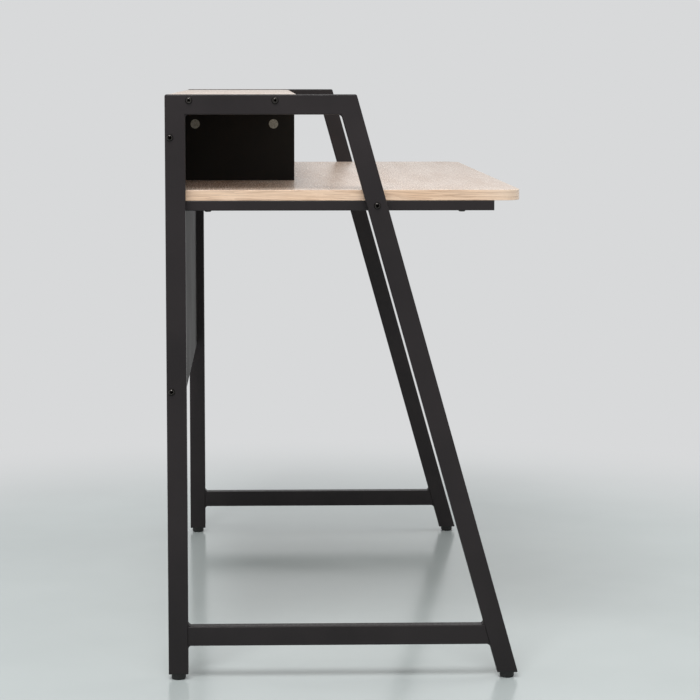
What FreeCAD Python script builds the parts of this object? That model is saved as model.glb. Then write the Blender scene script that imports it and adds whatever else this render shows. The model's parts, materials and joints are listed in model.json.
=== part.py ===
import FreeCAD, Part
import math
import os
import re
import Sketcher
from FreeCAD import Placement, Rotation, Vector

# Computer desk: two black steel side frames carry an oak desktop, a raised oak shelf and a
# black back panel, and two black dividers stand between the desktop and the shelf.
# Lengths are in millimetres. Z is up, X runs along the desk's width and the user sits on
# the -Y side. The origin is on the floor, under the middle of the desk.

SIZES = {
    # The desk as a whole: over the frames, wall side to front edge, floor to frame top
    "desk_width": 1100,
    "desk_depth": 534.5,
    "desk_height": 890,
    # Side frames: the tube is 30 deep seen from the side and 20 across the desk's width
    "tube_depth": 30,
    "tube_width": 20,
    "tube_wall": 1.5,
    "tube_round": 2,
    "mitre_round": 3,
    "rail_reach": 285.5,
    "foot_reach": 534.1,
    "crossbar_rise": 53,
    "weld_leg": 3.5,
    # Levelling feet
    "pad_width": 22,
    "pad_height": 9,
    "pad_edge": 2.5,
    "pad_floor": 2.5,
    "flange_thick": 1.3,
    "plug_depth": 22,
    "plug_gap": 0.2,
    "stud_width": 8,
    "stud_reach": 25,
    "stud_chamfer": 0.8,
    "stud_head_width": 12,
    "stud_head_thick": 2.5,
    "swivel_gap": 0.3,
    "thread_gap": 0.08,
    # Desktop
    "desktop_thick": 16,
    "desktop_round": 28,
    "desktop_side_gap": 0.5,
    "band_thick": 1,
    "band_round": 0.8,
    # Raised shelf
    "shelf_thick": 16,
    "shelf_sink": 1,
    "shelf_clearance": 126,
    "shelf_depth": 198,
    "shelf_round": 25,
    # Back panel and dividers
    "panel_thick": 15,
    "panel_height": 488,
    "divider_thick": 15,
    "middle_bay": 420,
    # Support rails under the desktop
    "support_height": 15,
    "support_width": 20,
    "support_round": 1.5,
    "support_setback": 40.5,
    "support_flange": 2,
    "support_plug_depth": 12,
    "locator_width": 8,
    "locator_reach": 10,
    "locator_chamfer": 1.5,
    # Button-head bolts, barrel nuts and weld nuts
    "bolt_width": 6,
    "bolt_chamfer": 0.8,
    "bolt_hole": 6.6,
    "bolt_head_width": 10.5,
    "bolt_head_thick": 3.3,
    "bolt_crown_share": 0.55,
    "bolt_rim_share": 0.2,
    "hex_key": 4,
    "hex_sink": 2,
    "board_bolt_length": 60,
    "board_bolt_spare": 3,
    "frame_bolt_length": 30,
    "fit_gap": 0.1,
    "barrel_width": 10,
    "barrel_length": 12,
    "barrel_setback": 32,
    "weld_nut_width": 10,
    "weld_nut_thick": 5,
    "support_bolt_rise": 0.8,
    "shelf_bolt_back": 36,
    "shelf_bolt_pitch": 128,
    "panel_bolt_drop": 47,
    "panel_bolt_pitch": 382,
    # Desktop screws and their inserts
    "desktop_screw_inset": 48,
    "desktop_screw_length": 25,
    "desktop_screw_head_width": 12,
    "desktop_screw_head_thick": 2,
    "recess_width": 5,
    "recess_slot": 1.2,
    "recess_sink": 1.4,
    "insert_width": 10,
    "insert_length": 12,
    # Cam locks, their pins, and dowels
    "cam_width": 15,
    "cam_thick": 12,
    "cam_drop": 34,
    "cam_recess_width": 8,
    "cam_recess_slot": 1.8,
    "cam_recess_sink": 2.5,
    "cam_pin_width": 6,
    "cam_pin_sink": 11,
    "cam_pin_chamfer": 1,
    "cam_pin_head_width": 7,
    "cam_pin_head_thick": 2.5,
    "cam_pin_neck_width": 4,
    "cam_pin_neck_length": 3,
    "cam_pin_hole": 8,
    "dowel_width": 8,
    "dowel_length": 30,
    "dowel_sink": 11,
    "dowel_spare": 1,
    "dowel_chamfer": 1,
    # How far a cutting shape runs past the face that it opens
    "cut_overrun": 5,
}

doc = FreeCAD.newDocument("computer_desk")
sheet = doc.addObject("Spreadsheet::Sheet", "Sizes")
for row, (name, size) in enumerate(SIZES.items(), start=1):
    sheet.set(f"A{row}", name)
    sheet.set(f"B{row}", str(size))
    sheet.setAlias(f"B{row}", name)
doc.recompute()

# Every exported piece, by the name of its node
pieces = {}


# Formulas in the names of the sizes

def formula(text):
    """Put the sheet's name in front of every size that the text uses."""
    return re.sub(r"\b[a-z]+(?:_[a-z]+)+\b", r"Sizes.\g<0>", text)


def value(text):
    """Work a formula out."""
    return float(sheet.evalExpression(formula(text)))


def bind(thing, path, text):
    """Tie one property of an object to a formula."""
    thing.setExpression(path, formula(text))


def from_back(distance):
    """Y of a point that lies this far in front of the frames' rear faces."""
    return f"(desk_depth / 2 - ({distance}))"


LEG_FLOOR = "(pad_height + flange_thick)"
LEAN = f"((foot_reach - rail_reach) / (desk_height - {LEG_FLOOR}))"
SECANT = f"sqrt(1 + {LEAN} ^ 2)"
FRONT_MITRE = f"({SECANT} - {LEAN})"
REAR_MITRE = "1"
FRAME_INNER = "(desk_width / 2 - tube_width)"
PANEL_TOP = "(desk_height - shelf_sink - shelf_thick)"
SHELF_MIDDLE = "(desk_height - shelf_sink - shelf_thick / 2)"
DESKTOP_TOP = f"({PANEL_TOP} - shelf_clearance)"
SUPPORT_TOP = f"({DESKTOP_TOP} - desktop_thick)"
SUPPORT_FLOOR = f"({SUPPORT_TOP} - support_height)"
SUPPORT_MIDDLE = f"({SUPPORT_TOP} - support_height / 2)"
SUPPORT_X = f"({FRAME_INNER} - support_width / 2)"
SUPPORT_FRONT = "(desk_depth - support_setback)"
SUPPORT_BOLT_HEIGHT = f"({SUPPORT_MIDDLE} + support_bolt_rise)"
LOCATOR_BACK = "((panel_thick + tube_depth) / 2)"
DIVIDER_X = "((middle_bay + divider_thick) / 2)"
DIVIDER_OUTER = "(middle_bay / 2 + divider_thick)"
SHELF_BOLT_FRONT = "(shelf_bolt_back + shelf_bolt_pitch)"
DOWEL_TOP_BACK = "(shelf_bolt_back + shelf_bolt_pitch / 2)"
PANEL_BOLT_HEIGHTS = (
    f"({PANEL_TOP} - panel_bolt_drop)",
    f"({PANEL_TOP} - panel_bolt_drop - panel_bolt_pitch)",
)
DESKTOP_SCREW_BACKS = (
    "(panel_thick + desktop_screw_inset)",
    f"({SUPPORT_FRONT} - desktop_screw_inset)",
)


def leg_front(height):
    """Distance from the back to the front leg's front face at a height."""
    return f"(rail_reach + {LEAN} * (desk_height - ({height})))"


def leg_rear(height):
    """Distance from the back to the front leg's rear face at a height."""
    return f"({leg_front(height)} - tube_depth * {SECANT})"


def leg_middle(height):
    """Distance from the back to the front leg's centre line at a height."""
    return f"({leg_front(height)} - tube_depth * {SECANT} / 2)"


# Sketches, features and groups

def new_body(label):
    """Start one solid piece."""
    body = doc.addObject("PartDesign::Body", label)
    body.Label = label
    return body


def sketch_on(body, role, label, offset=None):
    """Start a sketch on an origin plane of the body, or at a distance along its normal."""
    sketch = body.newObject("Sketcher::SketchObject", f"{body.Name}_{label}")
    plane = next(item for item in body.Origin.OriginFeatures if item.Role == role)
    sketch.AttachmentSupport = (plane, "")
    sketch.MapMode = "FlatFace"
    if offset:
        bind(sketch, "AttachmentOffset.Base.z", offset)
    return sketch


def hold(sketch, kind, text, *where):
    """Add one dimension to the sketch and tie it to a formula."""
    index = sketch.addConstraint(Sketcher.Constraint(kind, *where, value(text)))
    bind(sketch, f"Constraints[{index}]", text)


def arc_between(start, end, radius):
    """The anticlockwise arc of a radius from one point to another, under half a turn."""
    chord = end - start
    rise = math.sqrt(max(radius ** 2 - (chord.Length / 2) ** 2, 0))
    left = Vector(-chord.y, chord.x, 0).normalize()
    centre = (start + end) * 0.5 + left * rise
    angles = [math.atan2(point.y - centre.y, point.x - centre.x) for point in (start, end)]
    return Part.ArcOfCircle(Part.Circle(centre, Vector(0, 0, 1), radius), *angles)


def outline(sketch, corners):
    """Draw a closed outline, anticlockwise, and hold each corner at its two formulas.

    A third formula makes the side that leaves the corner an arc of that radius, which
    bulges outwards, or inwards where the word hollow follows it.
    """
    spots = [Vector(value(corner[0]), value(corner[1]), 0) for corner in corners]
    sides = []
    for start, end, corner in zip(spots, spots[1:] + spots[:1], corners):
        if len(corner) == 2:
            sides.append((sketch.addGeometry(Part.LineSegment(start, end)), 1, 2))
            continue
        hollow = "hollow" in corner
        ends = (end, start) if hollow else (start, end)
        arc = sketch.addGeometry(arc_between(*ends, value(corner[2])))
        sides.append((arc, 2, 1) if hollow else (arc, 1, 2))
    for corner, this_side, next_side in zip(corners, sides, sides[1:] + sides[:1]):
        side, first, last = this_side
        meeting = Sketcher.Constraint("Coincident", side, last, *next_side[:2])
        sketch.addConstraint(meeting)
        hold(sketch, "DistanceX", corner[0], -1, 1, side, first)
        hold(sketch, "DistanceY", corner[1], -1, 1, side, first)
        if len(corner) > 2:
            hold(sketch, "Radius", corner[2], side)


def circles(sketch, width, centres):
    """Draw a circle of one width at each centre."""
    for across, along in centres:
        middle = Vector(value(across), value(along), 0)
        ring = sketch.addGeometry(Part.Circle(middle, Vector(0, 0, 1), value(width) / 2))
        hold(sketch, "DistanceX", across, -1, 1, ring, 3)
        hold(sketch, "DistanceY", along, -1, 1, ring, 3)
        hold(sketch, "Diameter", width, ring)


def rectangle(left, right, low, high):
    """Corners of a rectangle, anticlockwise."""
    return [(left, low), (right, low), (right, high), (left, high)]


def rounded_rectangle(left, right, low, high, radius):
    """Corners of a rectangle whose four corners are arcs, anticlockwise."""
    return [
        (f"{left} + {radius}", low),
        (f"{right} - {radius}", low, radius),
        (right, f"{low} + {radius}"),
        (right, f"{high} - {radius}", radius),
        (f"{right} - {radius}", high),
        (f"{left} + {radius}", high, radius),
        (left, f"{high} - {radius}"),
        (left, f"{low} + {radius}", radius),
    ]


def hexagon(across, along, width):
    """Corners of a hexagon round a centre, with level flats this far apart."""
    return [
        (
            f"{across} + {width} / sqrt(3) * cos({turn})",
            f"{along} + {width} / sqrt(3) * sin({turn})",
        )
        for turn in range(0, 360, 60)
    ]


def cross(width, slot):
    """Corners of a cross-shaped driver recess round the axis."""
    arm = f"({width} / 2)"
    half = f"({slot} / 2)"
    return [
        (f"-{half}", f"-{arm}"), (half, f"-{arm}"), (half, f"-{half}"), (arm, f"-{half}"),
        (arm, half), (half, half), (half, arm), (f"-{half}", arm),
        (f"-{half}", half), (f"-{arm}", half), (f"-{arm}", f"-{half}"), (f"-{half}", f"-{half}"),
    ]


def pad(body, sketch, length, both_ways=False, backwards=False):
    """Raise the sketch by a length, to both sides of it or against its normal if asked."""
    feature = body.newObject("PartDesign::Pad", f"{sketch.Name}_pad")
    feature.Profile = sketch
    feature.SideType = "Symmetric" if both_ways else "One side"
    feature.Reversed = backwards
    bind(feature, "Length", length)
    doc.recompute()


def cut(body, sketch, depth=None, both_ways=False, forwards=False):
    """Cut the sketch out of the body, right through without a depth, and make sure it cuts."""
    before = body.Shape.Volume
    feature = body.newObject("PartDesign::Pocket", f"{sketch.Name}_cut")
    feature.Profile = sketch
    feature.SideType = "Symmetric" if both_ways else "One side"
    feature.Reversed = forwards
    if depth:
        bind(feature, "Length", depth)
    else:
        feature.Type = "ThroughAll"
    doc.recompute()
    if not body.Shape.Volume < before:
        raise ValueError(f"{feature.Name} cuts nothing")


def round_edges(body, direction, radius):
    """Round the straight edges of the body that run in one direction."""
    straight_share = 0.9999
    base = body.Tip
    names = [
        f"Edge{number}" for number, edge in enumerate(base.Shape.Edges, start=1)
        if isinstance(edge.Curve, Part.Line)
        and abs(edge.Curve.Direction.dot(direction)) > straight_share * direction.Length
    ]
    feature = body.newObject("PartDesign::Fillet", f"{body.Name}_rounding")
    feature.Base = (base, names)
    bind(feature, "Radius", radius)
    doc.recompute()


def round_band(body):
    """Round the long edges on the outer side of an edge band that lies round a board."""
    base = body.Tip
    middle = base.Shape.BoundBox.Center
    thick = value("band_thick")
    names = []
    for number, edge in enumerate(base.Shape.Edges, start=1):
        spot = edge.valueAt((edge.FirstParameter + edge.LastParameter) / 2)
        inwards = Vector(middle.x - spot.x, middle.y - spot.y, 0).normalize()
        inner = Vector(spot.x, spot.y, middle.z) + inwards * thick / 2
        level = edge.Vertexes[0].Z == edge.Vertexes[-1].Z
        if level and edge.Length > 2 * thick and base.Shape.isInside(inner, thick / 4, False):
            names.append(f"Edge{number}")
    feature = body.newObject("PartDesign::Fillet", f"{body.Name}_rounding")
    feature.Base = (base, names)
    bind(feature, "Radius", "band_round")
    doc.recompute()


def turned(label, profile):
    """Turn a piece round the vertical axis from its radius and height at each corner."""
    body = new_body(label)
    sketch = sketch_on(body, "XZ_Plane", "profile")
    outline(sketch, profile)
    feature = body.newObject("PartDesign::Revolution", f"{label}_turn")
    feature.Profile = sketch
    feature.ReferenceAxis = (sketch, ["V_Axis"])
    doc.recompute()
    return body


def place(thing, across="0", along="0", height="0", turn=Rotation()):
    """Turn a piece and move its origin to a point."""
    thing.Placement = Placement(Vector(), turn)
    for axis, text in zip("xyz", (across, along, height)):
        bind(thing, f"Placement.Base.{axis}", text)


def mirrored(source, label):
    """The same piece on the other side of the desk."""
    twin = doc.addObject("Part::Mirroring", label)
    twin.Label = label
    twin.Source = source
    twin.Normal = Vector(1, 0, 0)
    return twin


def both_sides(name, piece):
    """Keep a left-hand piece and make its right-hand twin."""
    piece.Label = f"left_{name}"
    pieces[piece.Label] = piece
    pieces[f"right_{name}"] = mirrored(piece, f"right_{name}")


def fastener_group(label, source, places, turn=Rotation()):
    """Set the source at each place on the left, mirror them to the right and group them."""
    links = []
    for number, spot in enumerate(places, start=1):
        link = doc.addObject("App::Link", f"{label}_{number}")
        link.LinkedObject = source
        place(link, *spot, turn)
        links.append(link)
    left = doc.addObject("Part::Compound", f"{label}_left")
    left.Links = links
    group = doc.addObject("Part::Compound", label)
    group.Links = [left, mirrored(left, f"{label}_right")]
    group.Label = label
    pieces[label] = group


POINTS_RIGHT = Rotation(Vector(0, 1, 0), 90)
POINTS_LEFT = Rotation(Vector(0, 1, 0), -90)


# Side frame tubes, seen from the side: Y to the right, Z up

def corner_bite(mitre):
    """Share of the way from a sharp frame corner to its arc's centre that the arc cuts off."""
    return f"(1 - 1 / sqrt(1 + {mitre} ^ 2))"


REAR_ARC = (
    from_back(f"mitre_round * {corner_bite(REAR_MITRE)}"),
    f"(desk_height - mitre_round * {corner_bite(REAR_MITRE)})",
)
FRONT_ARC = (
    from_back(f"rail_reach - mitre_round * {FRONT_MITRE} * {corner_bite(FRONT_MITRE)}"),
    f"(desk_height - mitre_round * {corner_bite(FRONT_MITRE)})",
)
REAR_INNER_CORNER = (from_back("tube_depth"), "(desk_height - tube_depth)")
FRONT_INNER_CORNER = (
    from_back(f"rail_reach - tube_depth * {FRONT_MITRE}"),
    "(desk_height - tube_depth)",
)


def frame_tube(name, sides, hollow, direction):
    """Raise a tube from its side outline, round its long edges and hollow it out."""
    body = new_body(f"left_{name}")
    side = sketch_on(body, "YZ_Plane", "side")
    outline(side, sides)
    pad(body, side, "tube_width", both_ways=True)
    round_edges(body, direction, "tube_round")
    inside = sketch_on(body, "YZ_Plane", "hollow")
    outline(inside, hollow)
    cut(body, inside, "tube_width - 2 * tube_wall", both_ways=True)
    place(body, across=f"-({FRAME_INNER} + tube_width / 2)")
    return body


def bolt_holes(body, centres):
    """Drill bolt holes through both side walls of a frame tube."""
    drilling = sketch_on(body, "YZ_Plane", "bolt_holes")
    circles(drilling, "bolt_hole", centres)
    cut(body, drilling, both_ways=True)


rear_leg = frame_tube(
    "rear_leg",
    [
        (from_back("tube_depth"), LEG_FLOOR),
        (from_back("0"), LEG_FLOOR),
        (from_back("0"), "desk_height - mitre_round", "mitre_round"),
        REAR_ARC,
        REAR_INNER_CORNER,
    ],
    rectangle(
        from_back("tube_depth - tube_wall"), from_back("tube_wall"),
        f"{LEG_FLOOR} - cut_overrun", "desk_height + cut_overrun",
    ),
    Vector(0, 0, 1),
)
bolt_holes(rear_leg, [(from_back("panel_thick / 2"), height) for height in PANEL_BOLT_HEIGHTS])
locator_hole = sketch_on(rear_leg, "YZ_Plane", "locator_hole")
circles(locator_hole, "locator_width + 4 * fit_gap", [(from_back(LOCATOR_BACK), SUPPORT_MIDDLE)])
cut(rear_leg, locator_hole, forwards=True)
both_sides("rear_leg", rear_leg)

top_rail = frame_tube(
    "top_rail",
    [
        FRONT_INNER_CORNER,
        REAR_INNER_CORNER,
        (*REAR_ARC, "mitre_round"),
        (from_back("mitre_round"), "desk_height"),
        (from_back(f"rail_reach - mitre_round * {FRONT_MITRE}"), "desk_height", "mitre_round"),
        FRONT_ARC,
    ],
    rectangle(
        from_back("rail_reach + cut_overrun"), from_back("-cut_overrun"),
        "desk_height - tube_depth + tube_wall", "desk_height - tube_wall",
    ),
    Vector(0, 1, 0),
)
bolt_holes(top_rail, [
    (from_back("shelf_bolt_back"), SHELF_MIDDLE),
    (from_back(SHELF_BOLT_FRONT), SHELF_MIDDLE),
])
both_sides("top_rail", top_rail)

FRONT_LEG_LOW = f"({LEG_FLOOR} - cut_overrun)"
FRONT_LEG_HIGH = "(desk_height + cut_overrun)"
front_leg = frame_tube(
    "front_leg",
    [
        (from_back("foot_reach"), LEG_FLOOR),
        (from_back(leg_rear(LEG_FLOOR)), LEG_FLOOR),
        FRONT_INNER_CORNER,
        (*FRONT_ARC, "mitre_round"),
        (
            from_back(f"rail_reach + mitre_round * {FRONT_MITRE} * {LEAN} / {SECANT}"),
            f"desk_height - mitre_round * {FRONT_MITRE} / {SECANT}",
        ),
    ],
    [
        (from_back(f"{leg_front(FRONT_LEG_LOW)} - tube_wall * {SECANT}"), FRONT_LEG_LOW),
        (from_back(f"{leg_rear(FRONT_LEG_LOW)} + tube_wall * {SECANT}"), FRONT_LEG_LOW),
        (from_back(f"{leg_rear(FRONT_LEG_HIGH)} + tube_wall * {SECANT}"), FRONT_LEG_HIGH),
        (from_back(f"{leg_front(FRONT_LEG_HIGH)} - tube_wall * {SECANT}"), FRONT_LEG_HIGH),
    ],
    Vector(0, value(LEAN), 1),
)
SUPPORT_BOLT_BACK = leg_middle(SUPPORT_BOLT_HEIGHT)
bolt_holes(front_leg, [(from_back(SUPPORT_BOLT_BACK), SUPPORT_BOLT_HEIGHT)])
both_sides("front_leg", front_leg)

CROSSBAR_TOP = "(crossbar_rise + tube_depth)"
crossbar = frame_tube(
    "crossbar",
    [
        (from_back(leg_rear("crossbar_rise")), "crossbar_rise"),
        (from_back("tube_depth"), "crossbar_rise"),
        (from_back("tube_depth"), CROSSBAR_TOP),
        (from_back(leg_rear(CROSSBAR_TOP)), CROSSBAR_TOP),
    ],
    rectangle(
        from_back(leg_front("crossbar_rise")), from_back("tube_depth - cut_overrun"),
        "crossbar_rise + tube_wall", f"{CROSSBAR_TOP} - tube_wall",
    ),
    Vector(0, 1, 0),
)
both_sides("crossbar", crossbar)


# Weld beads in the six inner corners of a side frame

TO_FRONT = ("-1", "0")
TO_BACK = ("1", "0")
UPWARDS = ("0", "1")
DOWNWARDS = ("0", "-1")
UP_THE_LEG = (f"{LEAN} / {SECANT}", f"1 / {SECANT}")
DOWN_THE_LEG = (f"-{LEAN} / {SECANT}", f"-1 / {SECANT}")
REAR_CROSSBAR_Y = from_back("tube_depth")
WELDED_CORNERS = [
    (REAR_INNER_CORNER, TO_FRONT, DOWNWARDS),
    (FRONT_INNER_CORNER, DOWN_THE_LEG, TO_BACK),
    ((REAR_CROSSBAR_Y, CROSSBAR_TOP), UPWARDS, TO_FRONT),
    ((REAR_CROSSBAR_Y, "crossbar_rise"), TO_FRONT, DOWNWARDS),
    ((from_back(leg_rear(CROSSBAR_TOP)), CROSSBAR_TOP), TO_BACK, UP_THE_LEG),
    ((from_back(leg_rear("crossbar_rise")), "crossbar_rise"), DOWN_THE_LEG, TO_BACK),
]
weld_beads = new_body("left_weld_beads")
weld_beads.AllowCompound = True
bead_ends = sketch_on(weld_beads, "YZ_Plane", "ends")
for (corner_y, corner_z), first, second in WELDED_CORNERS:
    outline(bead_ends, [
        (corner_y, corner_z),
        (
            f"{corner_y} + weld_leg * {first[0]}", f"{corner_z} + weld_leg * {first[1]}",
            "2 * weld_leg", "hollow",
        ),
        (f"{corner_y} + weld_leg * {second[0]}", f"{corner_z} + weld_leg * {second[1]}"),
    ])
pad(weld_beads, bead_ends, "tube_width - 2 * tube_round", both_ways=True)
place(weld_beads, across=f"-({FRAME_INNER} + tube_width / 2)")
both_sides("weld_beads", weld_beads)


# Levelling feet: a plug in the leg's end, a threaded stud and a round pad

PLUG_TOP = f"({LEG_FLOOR} + plug_depth)"


def leg_plug(position, low, high, slope, middle):
    """Close a leg's end with a plug that fills it up to the plug's top, and bore the plug."""
    body = new_body(f"{position}_plug")
    flange = sketch_on(body, "XY_Plane", "flange", offset="pad_height")
    outline(flange, rounded_rectangle(
        "-tube_width / 2", "tube_width / 2", from_back(low[0]), from_back(low[1]), "tube_round",
    ))
    pad(body, flange, "flange_thick")
    core = sketch_on(body, "YZ_Plane", "core")
    shrink = f"(tube_wall + plug_gap) * {slope}"
    outline(core, [
        (from_back(f"{low[0]} - {shrink}"), LEG_FLOOR),
        (from_back(f"{low[1]} + {shrink}"), LEG_FLOOR),
        (from_back(f"{high[1]} + {shrink}"), PLUG_TOP),
        (from_back(f"{high[0]} - {shrink}"), PLUG_TOP),
    ])
    pad(body, core, "tube_width - 2 * (tube_wall + plug_gap)", both_ways=True)
    bore = sketch_on(body, "XY_Plane", "bore")
    circles(bore, "stud_width + 2 * thread_gap", [("0", from_back(middle))])
    cut(body, bore, both_ways=True)
    place(body, across=f"-({FRAME_INNER} + tube_width / 2)")
    return body


def foot(position, low, high, slope):
    """Make the plug, stud and pad of a left foot and of its twin on the right.

    The foot sits under the middle of a leg whose front and rear faces are at the first
    pair of distances from the back at its end and at the second pair at the plug's top.
    """
    middle = f"({low[0]} + {low[1]}) / 2"
    both_sides(f"{position}_leg_plug", leg_plug(position, low, high, slope, middle))
    stud_top = "(pad_height + stud_reach)"
    head_top = "(pad_floor + stud_head_thick)"
    stud = turned(f"{position}_stud", [
        ("0", "pad_floor"),
        ("stud_head_width / 2", "pad_floor"),
        ("stud_head_width / 2", head_top),
        ("stud_width / 2", head_top),
        ("stud_width / 2", f"{stud_top} - stud_chamfer"),
        ("stud_width / 2 - stud_chamfer", stud_top),
        ("0", stud_top),
    ])
    socket_top = f"({head_top} + swivel_gap)"
    disc = turned(f"{position}_pad", [
        ("0", "0"),
        ("pad_width / 2 - pad_edge", "0", "pad_edge"),
        ("pad_width / 2", "pad_edge"),
        ("pad_width / 2", "pad_height"),
        ("stud_width / 2 + swivel_gap", "pad_height"),
        ("stud_width / 2 + swivel_gap", socket_top),
        ("stud_head_width / 2 + swivel_gap", socket_top),
        ("stud_head_width / 2 + swivel_gap", "pad_floor"),
        ("0", "pad_floor"),
    ])
    for name, piece in ((f"{position}_foot_stud", stud), (f"{position}_foot_pad", disc)):
        place(piece, f"-({FRAME_INNER} + tube_width / 2)", from_back(middle))
        both_sides(name, piece)


foot("back", ("tube_depth", "0"), ("tube_depth", "0"), "1")
foot(
    "front", (leg_front(LEG_FLOOR), leg_rear(LEG_FLOOR)),
    (leg_front(PLUG_TOP), leg_rear(PLUG_TOP)), SECANT,
)


# Support rails under the desktop's sides

SUPPORT_OUTLINE = rounded_rectangle(
    "-support_width / 2", "support_width / 2", SUPPORT_FLOOR, SUPPORT_TOP, "support_round",
)
support_rail = new_body("left_support_rail")
section = sketch_on(
    support_rail, "XZ_Plane", "section",
    offset=f"-{from_back('panel_thick + support_flange')}",
)
outline(section, SUPPORT_OUTLINE)
pad(support_rail, section, f"{SUPPORT_FRONT} - panel_thick - 2 * support_flange")
rail_hollow = sketch_on(support_rail, "XZ_Plane", "hollow")
outline(rail_hollow, rectangle(
    "-(support_width / 2 - tube_wall)", "support_width / 2 - tube_wall",
    f"{SUPPORT_FLOOR} + tube_wall", f"{SUPPORT_TOP} - tube_wall",
))
cut(support_rail, rail_hollow, both_ways=True)
screw_holes = sketch_on(support_rail, "XY_Plane", "screw_holes")
circles(screw_holes, "bolt_hole", [("0", from_back(back)) for back in DESKTOP_SCREW_BACKS])
cut(support_rail, screw_holes, both_ways=True)
side_hole = sketch_on(support_rail, "YZ_Plane", "side_hole")
circles(side_hole, "bolt_hole", [(from_back(SUPPORT_BOLT_BACK), SUPPORT_BOLT_HEIGHT)])
cut(support_rail, side_hole)
pin_hole = sketch_on(support_rail, "YZ_Plane", "pin_hole")
circles(pin_hole, "locator_width + 2 * fit_gap", [(from_back(LOCATOR_BACK), SUPPORT_MIDDLE)])
cut(support_rail, pin_hole)
place(support_rail, across=f"-{SUPPORT_X}")
both_sides("support_rail", support_rail)


def support_plug(name, back, faces_front):
    """Close one end of a support rail, whose tube ends this far from the back."""
    body = new_body(name)
    offset = f"-{from_back(back)}"
    flange = sketch_on(body, "XZ_Plane", "flange", offset=offset)
    outline(flange, SUPPORT_OUTLINE)
    pad(body, flange, "support_flange", backwards=not faces_front)
    core = sketch_on(body, "XZ_Plane", "core", offset=offset)
    half = "(support_width / 2 - tube_wall - plug_gap)"
    outline(core, rectangle(
        f"-{half}", half,
        f"{SUPPORT_FLOOR} + tube_wall + plug_gap", f"{SUPPORT_TOP} - tube_wall - plug_gap",
    ))
    pad(body, core, "support_plug_depth", backwards=faces_front)
    place(body, across=f"-{SUPPORT_X}")
    return body


both_sides(
    "support_rail_back_plug",
    support_plug("back_rail_plug", "panel_thick + support_flange", faces_front=False),
)
both_sides(
    "support_rail_front_plug",
    support_plug("front_rail_plug", f"{SUPPORT_FRONT} - support_flange", faces_front=True),
)

LOCATOR_LENGTH = "(tube_wall + locator_reach)"
locator = turned("locator", [
    ("0", "0"),
    ("locator_width / 2", "0"),
    ("locator_width / 2", f"{LOCATOR_LENGTH} - locator_chamfer"),
    ("locator_width / 2 - locator_chamfer", LOCATOR_LENGTH),
    ("0", LOCATOR_LENGTH),
])
place(
    locator, f"-({FRAME_INNER} - tube_wall)", from_back(LOCATOR_BACK), SUPPORT_MIDDLE,
    turn=POINTS_LEFT,
)
both_sides("locating_pin", locator)

weld_nut = new_body("weld_nut")
nut_face = sketch_on(weld_nut, "YZ_Plane", "flats", offset=f"-({FRAME_INNER} - tube_wall)")
outline(nut_face, hexagon(from_back(SUPPORT_BOLT_BACK), SUPPORT_BOLT_HEIGHT, "weld_nut_width"))
pad(weld_nut, nut_face, "weld_nut_thick")
nut_bore = sketch_on(weld_nut, "YZ_Plane", "bore")
circles(nut_bore, "bolt_width + 2 * fit_gap", [(from_back(SUPPORT_BOLT_BACK), SUPPORT_BOLT_HEIGHT)])
cut(weld_nut, nut_bore, both_ways=True)
both_sides("weld_nut", weld_nut)


# Desktop and its edge band, which goes round the front and both sides

def desktop_edge(inset):
    """Left rear corner, round the front to the right rear corner, this far inside the edge."""
    side = f"({FRAME_INNER} - desktop_side_gap - {inset})"
    rear = from_back("panel_thick")
    front = f"(-desk_depth / 2 + {inset})"
    radius = f"(desktop_round - {inset})"
    return [
        (f"-{side}", rear),
        (f"-{side}", f"{front} + {radius}", radius),
        (f"-{side} + {radius}", front),
        (f"{side} - {radius}", front, radius),
        (side, f"{front} + {radius}"),
        (side, rear),
    ]


def turned_round(corners):
    """The same open line walked the other way, so that its arcs are hollow."""
    back_again = []
    for corner, ahead in zip(corners[::-1], corners[-2::-1] + [corners[0]]):
        arc = (ahead[2], "hollow") if len(ahead) > 2 else ()
        back_again.append((corner[0], corner[1], *arc))
    return back_again


def holes(body, role, label, width, centres, depth, offset=None, forwards=False):
    """Drill blind holes of one width from one plane."""
    drilling = sketch_on(body, role, label, offset=offset)
    circles(drilling, width, centres)
    cut(body, drilling, depth, forwards=forwards)


def on_both_sides(across, backs):
    """Centres at a distance to the left and right of the middle, for each place in depth."""
    return [(f"{sign}{across}", from_back(back)) for sign in ("-", "") for back in backs]


CAM_BACKS = ("shelf_bolt_back", SHELF_BOLT_FRONT)
DOWEL_HOLE = "(dowel_width + 2 * fit_gap)"

desktop = new_body("desktop")
board = sketch_on(desktop, "XY_Plane", "board", offset=SUPPORT_TOP)
outline(board, desktop_edge("band_thick"))
pad(desktop, board, "desktop_thick")
holes(
    desktop, "XY_Plane", "insert_holes", "insert_width + 2 * fit_gap",
    on_both_sides(SUPPORT_X, DESKTOP_SCREW_BACKS), "insert_length",
    offset=SUPPORT_TOP, forwards=True,
)
holes(
    desktop, "XY_Plane", "dowel_holes", DOWEL_HOLE,
    on_both_sides(DIVIDER_X, CAM_BACKS), "dowel_sink + dowel_spare", offset=DESKTOP_TOP,
)
pieces["desktop"] = desktop

desktop_edge_band = new_body("desktop_edge_band")
strip = sketch_on(desktop_edge_band, "XY_Plane", "strip", offset=SUPPORT_TOP)
outline(strip, desktop_edge("0") + turned_round(desktop_edge("band_thick")))
pad(desktop_edge_band, strip, "desktop_thick")
round_band(desktop_edge_band)
pieces["desktop_edge_band"] = desktop_edge_band


# Raised shelf and its edge band, which goes all the way round

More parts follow.
